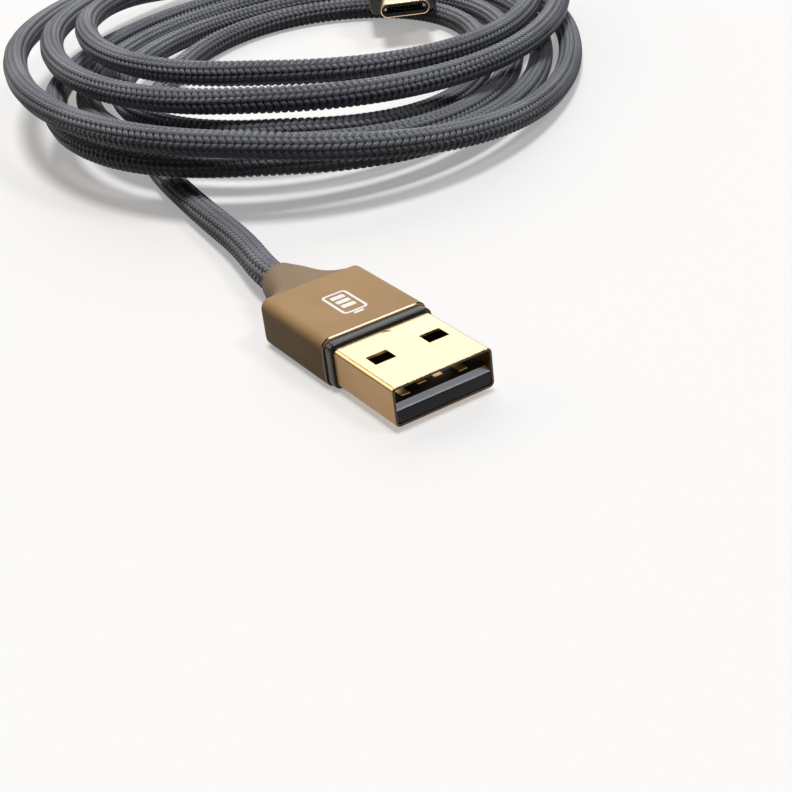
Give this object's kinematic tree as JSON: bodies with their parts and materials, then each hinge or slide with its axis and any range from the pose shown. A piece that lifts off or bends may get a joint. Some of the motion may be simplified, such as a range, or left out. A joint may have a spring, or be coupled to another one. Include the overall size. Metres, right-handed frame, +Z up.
{
  "type": "charging cable",
  "caption": "Braided charging and data cable, wound into a loose pile of loops, with a flat metal host plug at one end and a small oval plug at the other.",
  "frame": {"origin": "under the middle of the flat host plug, on the surface that its sleeve lies on", "axes": "+X points out of the host plug's mouth, along the plug's length; +Y to its left seen from behind; +Z up"},
  "size_m": [0.1697, 0.1105, 0.013],
  "materials": {
    "shell_gold": "satin gold-coloured plated steel",
    "sleeve_bronze": "satin bronze anodised, bright cut edges",
    "neck_bronze": "matt bronze",
    "black_gloss": "glossy black",
    "black_matte": "fine matt black",
    "contact_gold": "bright gold plating",
    "spring_steel": "plain steel",
    "board_green": "green circuit board",
    "resistor_black": "matt",
    "braid": "dark grey nylon braid",
    "wire_red": "red insulation",
    "wire_white": "white insulation",
    "wire_green": "green insulation",
    "wire_black": "black insulation"
  },
  "bodies": {
    "root": {"usb_a_shell": "shell_gold", "usb_c_shell": "shell_gold", "usb_a_sleeve": "sleeve_bronze", "usb_c_sleeve": "sleeve_bronze", "usb_a_strain_relief": "neck_bronze", "usb_c_strain_relief": "neck_bronze", "usb_a_inner_moulding": "black_gloss", "usb_c_inner_moulding": "black_gloss", "usb_a_insulator": "black_matte", "usb_c_insulator": "black_matte", "usb_a_contact_power": "contact_gold", "usb_a_contact_data_minus": "contact_gold", "usb_a_contact_data_plus": "contact_gold", "usb_a_contact_ground": "contact_gold", "usb_c_contacts_upper": "contact_gold", "usb_c_contacts_lower": "contact_gold", "usb_c_latches": "spring_steel", "usb_a_crimp": "spring_steel", "usb_c_crimp": "spring_steel", "usb_c_board": "board_green", "usb_c_resistor": "resistor_black", "cable_lead": "braid", "cable_coil": "braid", "cable_tail": "braid", "usb_a_cable_end": "braid", "usb_c_cable_end": "braid", "usb_a_wire_power": "wire_red", "usb_c_wire_power": "wire_red", "usb_a_wire_data_minus": "wire_white", "usb_c_wire_data_minus": "wire_white", "usb_a_wire_data_plus": "wire_green", "usb_c_wire_data_plus": "wire_green", "usb_a_wire_ground": "wire_black", "usb_c_wire_ground": "wire_black"}
  },
  "joints": []
}
